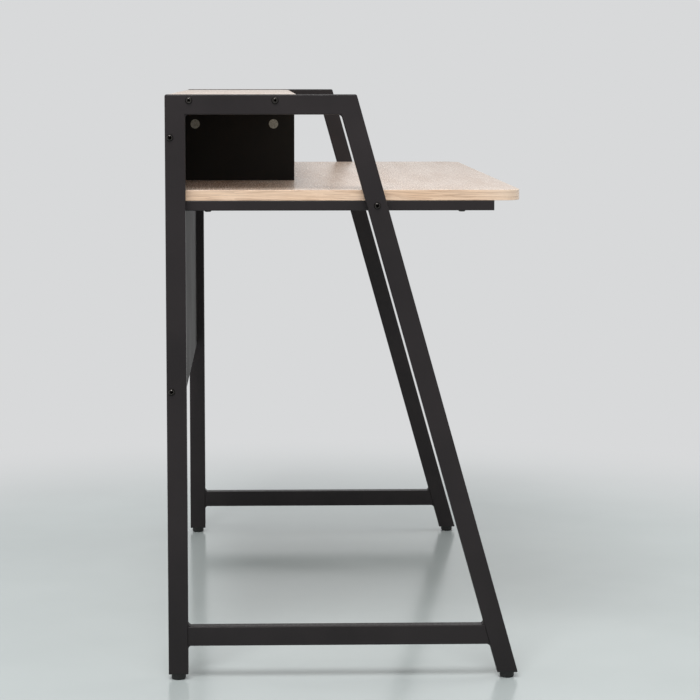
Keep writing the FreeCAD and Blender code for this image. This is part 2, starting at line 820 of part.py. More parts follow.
def shelf_outline(inset):
    """The shelf seen from above, this far inside its edge, with round front corners."""
    side = f"({FRAME_INNER} - {inset})"
    rear = from_back(inset)
    front = from_back(f"shelf_depth - {inset}")
    radius = f"(shelf_round - {inset})"
    return [
        (f"-{side}", rear),
        (f"-{side}", f"{front} + {radius}", radius),
        (f"-{side} + {radius}", front),
        (f"{side} - {radius}", front, radius),
        (side, f"{front} + {radius}"),
        (side, rear),
    ]


def end_holes(body, centres, start):
    """Drill a board's two ends for bolts that come in through the side frames."""
    depth = "board_bolt_length - tube_width + board_bolt_spare"
    for side, sign, forwards in (("left", "-", True), ("right", "", False)):
        holes(
            body, "YZ_Plane", f"{side}_bolt_holes", "bolt_hole", centres,
            f"{depth} - ({FRAME_INNER} - {start})", offset=f"{sign}{start}", forwards=forwards,
        )


SHELF_BOLTS = [(from_back(back), SHELF_MIDDLE) for back in CAM_BACKS]
BARREL_X = f"({FRAME_INNER} - barrel_setback)"
BARREL_HOLE = "(barrel_width + 2 * fit_gap)"

top_shelf = new_body("top_shelf")
shelf_board = sketch_on(top_shelf, "XY_Plane", "board", offset=PANEL_TOP)
outline(shelf_board, shelf_outline("band_thick"))
pad(top_shelf, shelf_board, "shelf_thick")
end_holes(top_shelf, SHELF_BOLTS, f"({FRAME_INNER} - band_thick)")
holes(
    top_shelf, "XY_Plane", "barrel_holes", BARREL_HOLE, on_both_sides(BARREL_X, CAM_BACKS),
    "(shelf_thick + barrel_length) / 2", offset=PANEL_TOP, forwards=True,
)
holes(
    top_shelf, "XY_Plane", "cam_pin_holes", "cam_pin_width + 2 * fit_gap",
    on_both_sides(DIVIDER_X, CAM_BACKS), "cam_pin_sink", offset=PANEL_TOP, forwards=True,
)
holes(
    top_shelf, "XY_Plane", "dowel_holes", DOWEL_HOLE, on_both_sides(DIVIDER_X, [DOWEL_TOP_BACK]),
    "dowel_sink + dowel_spare", offset=PANEL_TOP, forwards=True,
)
pieces["top_shelf"] = top_shelf

top_shelf_edge_band = new_body("top_shelf_edge_band")
shelf_strip = sketch_on(top_shelf_edge_band, "XY_Plane", "strip", offset=PANEL_TOP)
outline(shelf_strip, shelf_outline("0"))
outline(shelf_strip, shelf_outline("band_thick"))
pad(top_shelf_edge_band, shelf_strip, "shelf_thick")
round_band(top_shelf_edge_band)
band_holes = sketch_on(top_shelf_edge_band, "YZ_Plane", "bolt_holes")
circles(band_holes, "bolt_hole", SHELF_BOLTS)
cut(top_shelf_edge_band, band_holes, both_ways=True)
pieces["top_shelf_edge_band"] = top_shelf_edge_band


# Back panel between the rear legs, with a band on its lower edge

PANEL_FLOOR = f"({PANEL_TOP} - panel_height)"
PANEL_BOLTS = [(from_back("panel_thick / 2"), height) for height in PANEL_BOLT_HEIGHTS]


def panel_slab(label, low, high):
    """A board between the rear legs, from one height to another."""
    body = new_body(label)
    face = sketch_on(body, "XZ_Plane", "face", offset=f"-{from_back('0')}")
    outline(face, rectangle(f"-{FRAME_INNER}", FRAME_INNER, low, high))
    pad(body, face, "panel_thick")
    pieces[label] = body
    return body


back_panel = panel_slab("back_panel", f"{PANEL_FLOOR} + band_thick", PANEL_TOP)
end_holes(back_panel, PANEL_BOLTS, FRAME_INNER)
holes(
    back_panel, "XZ_Plane", "barrel_holes", BARREL_HOLE,
    [(f"{sign}{BARREL_X}", height) for sign in ("-", "") for height in PANEL_BOLT_HEIGHTS],
    "(panel_thick + barrel_length) / 2", offset=f"-{from_back('0')}", forwards=True,
)
panel_slab("back_panel_edge_band", PANEL_FLOOR, f"{PANEL_FLOOR} + band_thick")


# Dividers between the desktop and the shelf, each with a band on its front edge

def divider_slab(label, back, front):
    """An upright board of the left divider, between two distances from the back."""
    body = new_body(label)
    face = sketch_on(body, "YZ_Plane", "face", offset=f"-{DIVIDER_OUTER}")
    outline(face, rectangle(from_back(front), from_back(back), DESKTOP_TOP, PANEL_TOP))
    pad(body, face, "divider_thick")
    return body


CAM_HEIGHT = f"({PANEL_TOP} - cam_drop)"
DOWEL_IN_DIVIDER = "dowel_length - dowel_sink + dowel_spare"
divider = divider_slab("left_divider", "panel_thick", "shelf_depth - band_thick")
holes(
    divider, "YZ_Plane", "cam_bores", "cam_width + 2 * fit_gap",
    [(from_back(back), CAM_HEIGHT) for back in CAM_BACKS],
    "cam_thick", offset=f"-{DIVIDER_OUTER}", forwards=True,
)
holes(
    divider, "XY_Plane", "cam_pin_holes", "cam_pin_hole",
    [(f"-{DIVIDER_X}", from_back(back)) for back in CAM_BACKS], "cam_drop", offset=PANEL_TOP,
)
holes(
    divider, "XY_Plane", "top_dowel_hole", DOWEL_HOLE,
    [(f"-{DIVIDER_X}", from_back(DOWEL_TOP_BACK))], DOWEL_IN_DIVIDER, offset=PANEL_TOP,
)
holes(
    divider, "XY_Plane", "foot_dowel_holes", DOWEL_HOLE,
    [(f"-{DIVIDER_X}", from_back(back)) for back in CAM_BACKS], DOWEL_IN_DIVIDER,
    offset=DESKTOP_TOP, forwards=True,
)
both_sides("divider", divider)
both_sides(
    "divider_edge_band",
    divider_slab("left_divider_edge_band", "shelf_depth - band_thick", "shelf_depth"),
)


# Button-head bolts with a hexagon socket, along their own axis with the shank upwards

def bolt(label, length):
    """One bolt of a length under its head, whose seat is at the origin."""
    crown = "(bolt_head_width / 2 * bolt_crown_share)"
    rim = "(bolt_head_thick * bolt_rim_share)"
    body = turned(label, [
        ("0", "-bolt_head_thick"),
        (crown, "-bolt_head_thick", "bolt_head_width / 2"),
        ("bolt_head_width / 2", f"-{rim}"),
        ("bolt_head_width / 2", "0"),
        ("bolt_width / 2", "0"),
        ("bolt_width / 2", f"{length} - bolt_chamfer"),
        ("bolt_width / 2 - bolt_chamfer", length),
        ("0", length),
    ])
    socket = sketch_on(body, "XY_Plane", "socket", offset="-bolt_head_thick")
    outline(socket, hexagon("0", "0", "hex_key"))
    cut(body, socket, "hex_sink", forwards=True)
    return body


board_bolt = bolt("board_bolt", "board_bolt_length")
frame_bolt = bolt("frame_bolt", "frame_bolt_length")
OUTER_FACE = "-desk_width / 2"
fastener_group(
    "shelf_bolts", board_bolt, [(OUTER_FACE, *spot) for spot in SHELF_BOLTS], POINTS_RIGHT,
)
fastener_group(
    "back_panel_bolts", board_bolt, [(OUTER_FACE, *spot) for spot in PANEL_BOLTS], POINTS_RIGHT,
)
fastener_group(
    "support_rail_bolts", frame_bolt,
    [(OUTER_FACE, from_back(SUPPORT_BOLT_BACK), SUPPORT_BOLT_HEIGHT)], POINTS_RIGHT,
)


# Barrel nuts: short round bars with a threaded hole across their middle

def cylinder(label, width, length):
    """A round bar on the vertical axis, from the origin up."""
    bar = doc.addObject("Part::Cylinder", label)
    bind(bar, "Radius", f"({width}) / 2")
    bind(bar, "Height", length)
    return bar


def drilled(label, bar, tool):
    """The bar with the tool cut out of it."""
    result = doc.addObject("Part::Cut", label)
    result.Base = bar
    result.Tool = tool
    return result


cross_drill = cylinder("cross_drill", "bolt_width + 2 * fit_gap", "barrel_width + 2 * cut_overrun")
place(cross_drill, "-(barrel_width / 2 + cut_overrun)", "0", "barrel_length / 2", POINTS_RIGHT)
barrel_nut = drilled("barrel_nut", cylinder("barrel", "barrel_width", "barrel_length"), cross_drill)
fastener_group(
    "shelf_barrel_nuts", barrel_nut,
    [(f"-{BARREL_X}", y, f"{z} - barrel_length / 2") for y, z in SHELF_BOLTS],
)
fastener_group(
    "back_panel_barrel_nuts", barrel_nut,
    [(f"-{BARREL_X}", f"{y} + barrel_length / 2", z) for y, z in PANEL_BOLTS],
    Rotation(Vector(1, 0, 0), 90),
)


# Screws up through the support rails, and the threaded inserts that they bite into

desktop_screw = turned("desktop_screw", [
    ("0", "-desktop_screw_head_thick"),
    (
        "desktop_screw_head_width / 2 - desktop_screw_head_thick", "-desktop_screw_head_thick",
        "desktop_screw_head_width / 2",
    ),
    ("desktop_screw_head_width / 2", "0"),
    ("bolt_width / 2", "0"),
    ("bolt_width / 2", "desktop_screw_length - bolt_chamfer"),
    ("bolt_width / 2 - bolt_chamfer", "desktop_screw_length"),
    ("0", "desktop_screw_length"),
])
screw_recess = sketch_on(desktop_screw, "XY_Plane", "recess", offset="-desktop_screw_head_thick")
outline(screw_recess, cross("recess_width", "recess_slot"))
cut(desktop_screw, screw_recess, "recess_sink", forwards=True)
SCREW_SPOTS = [(f"-{SUPPORT_X}", from_back(back)) for back in DESKTOP_SCREW_BACKS]
fastener_group("desktop_screws", desktop_screw, [(*spot, SUPPORT_FLOOR) for spot in SCREW_SPOTS])

insert_bore = cylinder("insert_bore", "bolt_width + 2 * fit_gap", "insert_length + 2 * cut_overrun")
place(insert_bore, height="-cut_overrun")
insert = drilled("insert", cylinder("insert_sleeve", "insert_width", "insert_length"), insert_bore)
fastener_group("desktop_inserts", insert, [(*spot, SUPPORT_TOP) for spot in SCREW_SPOTS])


# Cam locks in the dividers' outer faces, their pins in the shelf, and the wood dowels

cam = new_body("cam")
disc_face = sketch_on(cam, "XY_Plane", "disc")
circles(disc_face, "cam_width", [("0", "0")])
pad(cam, disc_face, "cam_thick")
driver = sketch_on(cam, "XY_Plane", "recess")
outline(driver, cross("cam_recess_width", "cam_recess_slot"))
cut(cam, driver, "cam_recess_sink", forwards=True)
holes(
    cam, "YZ_Plane", "pin_way", "cam_pin_head_width + 6 * fit_gap", [("0", "divider_thick / 2")],
    "cam_width", offset="cam_pin_head_width / 2",
)
fastener_group(
    "cam_locks", cam,
    [(f"-{DIVIDER_OUTER}", from_back(back), CAM_HEIGHT) for back in CAM_BACKS], POINTS_RIGHT,
)

PIN_TOP = "(cam_drop + cam_pin_head_thick / 2 + cam_pin_sink)"
NECK_TOP = "(cam_pin_head_thick + cam_pin_neck_length)"
cam_pin = turned("cam_pin", [
    ("0", "0"),
    ("cam_pin_head_width / 2", "0"),
    ("cam_pin_head_width / 2", "cam_pin_head_thick"),
    ("cam_pin_neck_width / 2", "cam_pin_head_thick"),
    ("cam_pin_neck_width / 2", NECK_TOP),
    ("cam_pin_width / 2", NECK_TOP),
    ("cam_pin_width / 2", f"{PIN_TOP} - cam_pin_chamfer"),
    ("cam_pin_width / 2 - cam_pin_chamfer", PIN_TOP),
    ("0", PIN_TOP),
])
fastener_group("cam_pins", cam_pin, [
    (f"-{DIVIDER_X}", from_back(back), f"{CAM_HEIGHT} - cam_pin_head_thick / 2")
    for back in CAM_BACKS
])

dowel = turned("dowel", [
    ("0", "0"),
    ("dowel_width / 2 - dowel_chamfer", "0"),
    ("dowel_width / 2", "dowel_chamfer"),
    ("dowel_width / 2", "dowel_length - dowel_chamfer"),
    ("dowel_width / 2 - dowel_chamfer", "dowel_length"),
    ("0", "dowel_length"),
])
fastener_group("wood_dowels", dowel, [
    (f"-{DIVIDER_X}", from_back(back), f"{DESKTOP_TOP} - dowel_sink") for back in CAM_BACKS
] + [
    (f"-{DIVIDER_X}", from_back(DOWEL_TOP_BACK), f"{PANEL_TOP} + dowel_sink - dowel_length"),
])


# Check every object, then write one file for each piece

doc.recompute()
broken = [item.Name for item in doc.Objects if {"Invalid", "Error"} & set(item.State)]
if broken:
    raise ValueError(f"failed: {broken}")
for name, piece in pieces.items():
    if piece.Shape.isNull() or not piece.Shape.isValid() or not piece.Shape.Solids:
        raise ValueError(f"{name} has no sound solid")

os.makedirs("parts", exist_ok=True)
for name, piece in pieces.items():
    piece.Shape.exportStep(f"parts/{name}.step")
    box = piece.Shape.BoundBox
    print(
        f"{name}: {len(piece.Shape.Solids)} solid(s), {piece.Shape.Volume / 1000:.2f} cm3,"
        f" X {box.XMin:.1f}..{box.XMax:.1f}, Y {box.YMin:.1f}..{box.YMax:.1f},"
        f" Z {box.ZMin:.1f}..{box.ZMax:.1f}"
    )
print(len(pieces), "pieces written")
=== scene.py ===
# %% [markdown]
# # A computer desk, dressed over its CAD frame
#
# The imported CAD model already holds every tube, board, bolt and foot at its real size and
# place. This lesson gives each piece the surface of the real thing, swaps a few pieces for
# finer ones worked out with numpy, and lights them softly. Lengths are in metres, Z is up,
# X runs along the desk's width and the user sits on the -Y side.

# %% Load the frame
import json
import math

import bpy
import numpy as np
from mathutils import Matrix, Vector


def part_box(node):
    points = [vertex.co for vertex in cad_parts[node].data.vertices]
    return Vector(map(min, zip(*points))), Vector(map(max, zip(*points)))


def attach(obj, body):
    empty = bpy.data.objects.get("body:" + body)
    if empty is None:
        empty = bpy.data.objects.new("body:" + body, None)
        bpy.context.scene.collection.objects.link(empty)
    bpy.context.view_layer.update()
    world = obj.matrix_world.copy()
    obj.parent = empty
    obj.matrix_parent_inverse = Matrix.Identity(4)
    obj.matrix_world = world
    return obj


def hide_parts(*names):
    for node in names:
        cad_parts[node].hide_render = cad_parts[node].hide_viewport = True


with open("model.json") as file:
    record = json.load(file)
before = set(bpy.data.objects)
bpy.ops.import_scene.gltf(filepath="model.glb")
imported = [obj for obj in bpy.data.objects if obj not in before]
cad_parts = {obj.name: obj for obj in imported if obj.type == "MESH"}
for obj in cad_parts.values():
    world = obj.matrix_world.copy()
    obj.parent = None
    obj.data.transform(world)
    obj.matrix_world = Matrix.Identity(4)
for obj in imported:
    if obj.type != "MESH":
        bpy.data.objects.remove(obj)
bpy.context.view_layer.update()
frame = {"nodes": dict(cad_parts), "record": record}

# %% [markdown]
# ## The camera stands where the photographer stood
#
# The photograph looks straight along the desk's width from its left side, a little above
# the shelf. The near side frame is 3.25 m away and the lens is long, so the far frame is
# three quarters as large as the near one. In the photograph upright lines stay parallel,
# which needs a level camera with its lens shifted far down. A shift that large would push
# the desk out of every other view, so here the camera is tilted down instead and only a
# little of the shift is kept. That costs about one pixel on average, and up to five
# halfway up the legs.

# %% Camera
IMAGE_SIDE = 700
FOCAL_PIXELS = 2175.8
SENSOR_MM = 36.0
EYE = (-3.7951, 0.1279, 0.9202)
TURN_RIGHT, TILT_DOWN = 1.483, 6.323
SHIFT_X, SHIFT_Y = 0.05, -0.05

camera_data = bpy.data.cameras.new("camera")
camera_data.sensor_width = SENSOR_MM
camera_data.lens = FOCAL_PIXELS / IMAGE_SIDE * SENSOR_MM
camera_data.shift_x, camera_data.shift_y = SHIFT_X, SHIFT_Y
camera = bpy.data.objects.new("camera", camera_data)
camera.location = EYE
camera.rotation_euler = [math.radians(a) for a in (90 - TILT_DOWN, 0, -90 - TURN_RIGHT)]
bpy.context.scene.collection.objects.link(camera)
bpy.context.scene.camera = camera
bpy.context.view_layer.update()


def pixel(point):
    """Where a point lands: its offsets from the eye, over its depth, times the focal length."""
    across, up, back = camera.matrix_world.inverted() @ Vector(point)
    return (
        IMAGE_SIDE * (0.5 - SHIFT_X) + FOCAL_PIXELS * across / -back,
        IMAGE_SIDE * (0.5 + SHIFT_Y) - FOCAL_PIXELS * up / -back,
    )


for corner in ((-0.55, 0.26725, 0.89), (-0.5295, -0.26725, 0.747), (-0.54, -0.26685, 0.0103)):
    print("corner", corner, "lands at", [round(v, 1) for v in pixel(corner)])

# %% [markdown]
# ## Small helpers for materials
#
# Colours are written as sRGB hex, as a paint chart would give them. Blender's shaders work
# on linear light, so one function turns them. A second one adds a node, sets its values
# and links its inputs. Nearly every real surface varies a little in tone, in gloss and in
# height, so three more let a noise drive each of these. A noise seldom leaves the span
# from 0.3 to 0.7, so that span is what they stretch.

# %% Colour and node helpers
MM = 0.001
NOISE_LOW, NOISE_HIGH = 0.3, 0.7


def linear(colour):
    """sRGB hex to linear: below 0.04045 divide by 12.92, above it ((c + 0.055) / 1.055) ** 2.4."""
    parts = [int(colour[i:i + 2], 16) / 255 for i in (1, 3, 5)]
    return (*[c / 12.92 if c <= 0.04045 else ((c + 0.055) / 1.055) ** 2.4 for c in parts], 1.0)


def add(tree, kind, inputs=None, stops=None, **settings):
    """Add one node. Each input is a value or another node's output; stops colour a ramp."""
    made = tree.nodes.new("ShaderNode" + kind)
    for name, setting in settings.items():
        setattr(made, name, setting)
    for socket, source in (inputs or {}).items():
        if isinstance(source, bpy.types.NodeSocket):
            tree.links.new(source, made.inputs[socket])
        else:
            made.inputs[socket].default_value = source
    if stops:
        ramp = made.color_ramp.elements
        while len(ramp) < len(stops):
            ramp.new(0.5)
        for element, (place, colour) in zip(ramp, stops):
            element.position = place
            element.color = linear(colour) if isinstance(colour, str) else (colour,) * 3 + (1.0,)
    return made


def new_material(name, **shader_values):
    """A material, its tree, its shader and its object coordinates; values go on the sockets."""
    made = bpy.data.materials.new(name)
    made.use_nodes = True
    tree = made.node_tree
    shader = tree.nodes["Principled BSDF"]
    for socket, setting in shader_values.items():
        shader.inputs[socket.replace("_", " ")].default_value = setting
    place = add(tree, "TexCoord").outputs["Object"]
    return made, tree, shader, place


def colour_by(tree, shader, noise, low, high):
    """Let a noise move the colour from one tone to another."""
    tone = add(tree, "ValToRGB", {"Fac": noise}, stops=[(NOISE_LOW, low), (NOISE_HIGH, high)])
    tree.links.new(tone.outputs["Color"], shader.inputs["Base Color"])


def gloss_by(tree, shader, noise, low, high):
    """Let a noise move the roughness from one value to another."""
    gloss = add(tree, "MapRange", {
        "Value": noise, "From Min": NOISE_LOW, "From Max": NOISE_HIGH,
        "To Min": low, "To Max": high,
    })
    tree.links.new(gloss.outputs["Result"], shader.inputs["Roughness"])


def bump_by(tree, shader, height, strength, distance, **settings):
    """Let a height tilt the shading: distance is its full height, strength how much shows."""
    bump = add(tree, "Bump", {
        "Height": height, "Strength": strength, "Distance": distance,
    }, **settings)
    tree.links.new(bump.outputs["Normal"], shader.inputs["Normal"])


print("mid grey is", round(linear("#808080")[0], 4), "in linear light")

# %% [markdown]
# ## Powder-coated steel
#
# The frames are welded from steel tube and powder coated: dry black paint is sprayed on
# with a static charge and baked. It flows out into a satin skin with a fine orange peel
# and slightly uneven gloss. Matting agents in the powder take much of the mirror-like
# part of the reflection away, so the specular level is well under that of clear paint.
# The peel of the real coat is about 1 mm from crest to crest. It is drawn 3 mm wide so
# that it still shows from across the room.

# %% Powder coat
PEEL, CLOUD = 3 * MM, 110 * MM

powder_coat, tree, shader, place = new_material(
    "powder_coated_steel", IOR=1.5, Specular_IOR_Level=0.3,
)
cloud = add(tree, "TexNoise", {"Vector": place, "Scale": 1 / CLOUD, "Detail": 3.0})
colour_by(tree, shader, cloud.outputs["Fac"], "#1d191a", "#262122")
peel = add(tree, "TexNoise", {"Vector": place, "Scale": 1 / PEEL, "Detail": 2.0})
gloss_by(tree, shader, peel.outputs["Fac"], 0.34, 0.5)
bump_by(tree, shader, peel.outputs["Fac"], strength=0.5, distance=0.15 * MM)
print("powder coat:", len(tree.nodes), "nodes")

# %% [markdown]
# ## Oak print
#
# The desktop and the shelf are particle board faced with melamine: paper printed with
# pale oak, pressed on hot, under a hard clear skin. The print is a photograph of flat
# sawn oak, so it has slow clouds of tone, growth rings drawn out into long flames, fine
# pores that follow the grain, and a rare faint knot that the grain bends round. It could
# be painted as an image, but a few stretched noises give the same layers at any size. One
# function draws them for the faces and for the edge band, whose narrow print has thin
# brown streaks along its length. The finest pores are drawn 0.9 mm wide, about twice
# their real size, so that they show.

# %% Oak print
SWAY_LONG, SWAY_WIDE, SWAY = 500 * MM, 90 * MM, 30 * MM
GRAIN_LAYERS = (
    (300 * MM, 45 * MM),   # clouds
    (360 * MM, 16 * MM),   # growth rings
    (110 * MM, 2.2 * MM),  # streaks
    (30 * MM, 0.9 * MM),   # pores
)
RINGS_EACH_WAVE = 9.0
KNOT_RAGGED, KNOT_LUMPS = 0.4, 2.5
KNOT_RINGS = (
    (0.24, 0.9), (0.36, 0.7), (0.42, 0.25), (0.52, 0.4), (0.6, 0.12), (0.72, 0.24), (1, 0),
)
KNOT_REACH, KNOT_BEND = 2.2, 9 * MM


def oak_print(tree, shader, place, along, across, colours, depth, knots=()):
    """Colour, gloss and relief of printed oak.

    along and across turn metres into grain units: a layer of streaks l long and w wide is
    a noise over place * (along / l + across / w). A slow noise first pushes every place
    sideways, which bends the grain, and so does each knot. Cloud, ring and pore layers
    then darken the palest colour in turn, and depth gives how much the streaks and the
    pores darken it at most. A knot (x, y, half its length) is a dark core in two broken
    rings, twice as long as it is wide.
    """
    pale, mid, dark, line = colours
    along, across = np.array(along), np.array(across)
    drift = add(tree, "Mapping", {
        "Vector": place, "Scale": along / SWAY_LONG + across / SWAY_WIDE,
    })
    sway = add(tree, "TexNoise", {"Vector": drift.outputs["Vector"], "Scale": 1.0})
    bent = add(tree, "VectorMath", {
        0: sway.outputs["Color"], 1: across * SWAY, 2: place,
    }, operation="MULTIPLY_ADD").outputs["Vector"]
    marks = []
    for x, y, half in knots:
        near = add(tree, "Mapping", {
            "Vector": place, "Location": (-x / half, -2 * y / half, 0),
            "Scale": (1 / half, 2 / half, 0),
        })
        ragged = add(tree, "TexNoise", {"Vector": near.outputs["Vector"], "Scale": KNOT_LUMPS})
        far = add(tree, "VectorMath", {0: near.outputs["Vector"]}, operation="LENGTH")
        reach = add(tree, "Math", {
            0: ragged.outputs["Fac"], 1: KNOT_RAGGED, 2: far.outputs["Value"],
        }, operation="MULTIPLY_ADD")
        rim = add(tree, "ValToRGB", {"Fac": reach.outputs["Value"]}, stops=KNOT_RINGS)
        marks.append(rim.outputs["Color"])
        bend = add(tree, "MapRange", {
            "Value": far.outputs["Value"], "From Max": KNOT_REACH, "To Min": 1.0, "To Max": 0.0,
        }, interpolation_type="SMOOTHSTEP")
        bent = add(tree, "VectorMath", {
            0: bend.outputs["Result"], 1: across * KNOT_BEND, 2: bent,
        }, operation="MULTIPLY_ADD").outputs["Vector"]
    cloud, ring, streak, pore = [
        add(tree, "Mapping", {
            "Vector": bent, "Scale": along / length + across / width,
        }).outputs["Vector"]
        for length, width in GRAIN_LAYERS
    ]
    slow = add(tree, "TexNoise", {"Vector": cloud, "Scale": 1.0, "Detail": 4.0})
    base = add(tree, "ValToRGB", {"Fac": slow.outputs["Fac"]}, stops=[
        (0.3, dark), (0.5, mid), (0.68, pale),
    ])
    rings = add(tree, "TexNoise", {
        "Vector": ring, "Scale": 1.0, "Detail": 2.0, "Roughness": 0.5, "Distortion": 0.6,
    })
    bands = add(tree, "Math", {
        0: rings.outputs["Fac"], 1: RINGS_EACH_WAVE,
    }, operation="MULTIPLY")
    saw = add(tree, "Math", {0: bands.outputs["Value"]}, operation="FRACT")
    late = add(tree, "MapRange", {
        "Value": saw.outputs["Value"], "From Min": 0.35, "From Max": 0.95, "To Max": 0.2,
    })
    streaks = add(tree, "TexNoise", {
        "Vector": streak, "Scale": 1.0, "Detail": 4.0, "Roughness": 0.6,
    })
    thin = add(tree, "MapRange", {
        "Value": streaks.outputs["Fac"], "From Min": 0.54, "From Max": 0.74, "To Max": depth[0],
    })
    specks = add(tree, "TexNoise", {"Vector": pore, "Scale": 1.0, "Detail": 2.0})
    pores = add(tree, "MapRange", {
        "Value": specks.outputs["Fac"], "From Min": 0.6, "From Max": 0.72, "To Max": depth[1],
    })
    colour = base.outputs["Color"]
    for amount in (late.outputs["Result"], thin.outputs["Result"], pores.outputs["Result"], *marks):
        colour = add(tree, "Mix", {
            0: amount, 6: colour, 7: linear(line),
        }, data_type="RGBA").outputs[2]
    tree.links.new(colour, shader.inputs["Base Color"])
    gloss_by(tree, shader, specks.outputs["Fac"], 0.22, 0.3)
    bump_by(tree, shader, pores.outputs["Result"], strength=0.1, distance=0.03 * MM, invert=True)


print("oak print:", len(GRAIN_LAYERS), "layers of grain")

# %% [markdown]
# ## Oak on the faces and on the edges
#
# On the boards' faces the grain runs along the desk's width. The edge band's print runs
# along the edge, whichever way the edge goes, so its grain is stretched along both level
# directions at once. It is warmer than the faces and its streaks are much darker. The
# last colour of each list is the one that rings, streaks, pores and knots darken towards.

# %% Oak faces and oak edge band
FACE_COLOURS = ("#ebd8c8", "#e3cebd", "#d8c0ac", "#a8866b")
BAND_COLOURS = ("#f4dcc5", "#f0d3b9", "#e7c4a5", "#74492c")
FACE_DEPTH, BAND_DEPTH = (0.36, 0.24), (0.55, 0.4)
KNOTS = (
    (-0.043, -0.249, 0.016), (0.27, -0.07, 0.02), (-0.33, 0.03, 0.014), (0.16, 0.17, 0.018),
    (-0.41, -0.17, 0.013), (-0.12, -0.11, 0.009),
)

oak_laminate, tree, shader, place = new_material("oak_printed_melamine", IOR=1.5)
oak_print(tree, shader, place, (1, 0, 0), (0, 1, 1), FACE_COLOURS, FACE_DEPTH, KNOTS)
print("oak faces:", len(tree.nodes), "nodes")
oak_edge_band, tree, shader, place = new_material("oak_printed_edge_band", IOR=1.5)
oak_print(tree, shader, place, (1, 1, 0), (0, 0, 1), BAND_COLOURS, BAND_DEPTH)
print("oak edge band:", len(tree.nodes), "nodes")

# %% [markdown]
# ## Black melamine
#
# The back panel and the dividers are the same board with a plain black face. Its press
# plate leaves a fine pebble, so it looks duller than the paint on the steel and shows
# almost no highlight. The band on its front edges is the same black in ABS plastic.

# %% Black boards
PEBBLE, HAZE, SCUFF = 1.6 * MM, 140 * MM, 12 * MM

black_laminate, tree, shader, place = new_material(
    "black_melamine", IOR=1.5, Specular_IOR_Level=0.14,
)
pebble = add(tree, "TexVoronoi", {"Vector": place, "Scale": 1 / PEBBLE}, feature="SMOOTH_F1")
haze = add(tree, "TexNoise", {"Vector": place, "Scale": 1 / HAZE, "Detail": 2.0})
colour_by(tree, shader, haze.outputs["Fac"], "#171512", "#1d1b18")
gloss_by(tree, shader, haze.outputs["Fac"], 0.5, 0.58)
bump_by(tree, shader, pebble.outputs["Distance"], strength=0.25, distance=0.1 * MM)

black_band, tree, shader, place = new_material(
    "black_abs_edge_band", IOR=1.53, Specular_IOR_Level=0.3,
)
scuffs = add(tree, "TexNoise", {"Vector": place, "Scale": 1 / SCUFF, "Detail": 3.0})
colour_by(tree, shader, scuffs.outputs["Fac"], "#191816", "#201f1d")
gloss_by(tree, shader, scuffs.outputs["Fac"], 0.38, 0.5)
print("black boards:", black_laminate.name, "and", black_band.name)

# %% [markdown]
# ## Fittings
#
# Three metals, a plastic and a wood cover the small parts. The bolts are black oxide: steel
# boiled in salts until its skin turns to a thin black oxide that still shines like metal.
# The studs, nuts and pins are zinc plated, a cool silver that is a little milky. The cam
# locks are die-cast zinc alloy, left as cast, so they are dull and slightly mottled. The
# plugs and foot pads are moulded from black plastic with a fine spark-eroded texture, and
# the hidden dowels are plain beech.

# %% Fittings
def metal(name, colours, mottle, rough, relief):
    """A metal whose tone and gloss wander by a noise of one size, with a fine relief."""
    made, tree, shader, place = new_material(name, Metallic=1.0)
    stain = add(tree, "TexNoise", {"Vector": place, "Scale": 1 / mottle, "Detail": 4.0})
    colour_by(tree, shader, stain.outputs["Fac"], *colours)
    gloss_by(tree, shader, stain.outputs["Fac"], *rough)
    bump_by(tree, shader, stain.outputs["Fac"], strength=0.3, distance=relief)
    return made


black_oxide = metal(
    "black_oxide_steel", ("#3b3836", "#484543"), mottle=3 * MM, rough=(0.1, 0.17), relief=0.004 * MM,
)
zinc_plate = metal(
    "zinc_plated_steel", ("#aeb0b0", "#c6c7c5"), mottle=4 * MM, rough=(0.26, 0.4), relief=0.01 * MM,
)
cast_zinc = metal(
    "die_cast_zinc_alloy", ("#77746b", "#b0ad9f"), mottle=2.5 * MM, rough=(0.42, 0.58),
    relief=0.05 * MM,
)

GRIT = 0.9 * MM
FIBRE_WIDE, FIBRE_LONG = 0.7 * MM, 9 * MM

black_plastic, tree, shader, place = new_material(
    "black_moulded_polyethylene", IOR=1.51, Specular_IOR_Level=0.3,
)
grit = add(tree, "TexNoise", {"Vector": place, "Scale": 1 / GRIT, "Detail": 2.0})
colour_by(tree, shader, grit.outputs["Fac"], "#1a1a1a", "#222221")
gloss_by(tree, shader, grit.outputs["Fac"], 0.44, 0.6)
bump_by(tree, shader, grit.outputs["Fac"], strength=0.4, distance=0.05 * MM)

beech, tree, shader, place = new_material("beech_dowel", Roughness=0.6, IOR=1.5)
fibre = add(tree, "Mapping", {
    "Vector": place, "Scale": (1 / FIBRE_WIDE, 1 / FIBRE_WIDE, 1 / FIBRE_LONG),
})
fleck = add(tree, "TexNoise", {"Vector": fibre.outputs["Vector"], "Scale": 1.0, "Detail": 3.0})
colour_by(tree, shader, fleck.outputs["Fac"], "#b98d63", "#d3ab80")
print("materials:", sorted(m.name for m in bpy.data.materials if m.use_nodes))

# %% [markdown]
# ## Dress the CAD pieces
#
# Each node keeps its mesh and gets the material of its slot in the record, so a finish is
# chosen once for all the pieces that share it.

# %% Give every node its finish
FINISHES = {
    "powder_coated_steel": powder_coat,
    "black_oxide_steel": black_oxide,
    "zinc_plated_steel": zinc_plate,
    "zinc_alloy": cast_zinc,
    "black_plastic": black_plastic,
    "oak_laminate": oak_laminate,
    "oak_edge_band": oak_edge_band,
    "black_laminate": black_laminate,
    "black_edge_band": black_band,
    "beech": beech,
}
slot_of = {part["node"]: part["material_slot"] for part in frame["record"]["subparts"]}
for name, piece in frame["nodes"].items():
    for material_slot in piece.material_slots:
        material_slot.material = FINISHES[slot_of[name]]
print(len(slot_of), "nodes dressed")

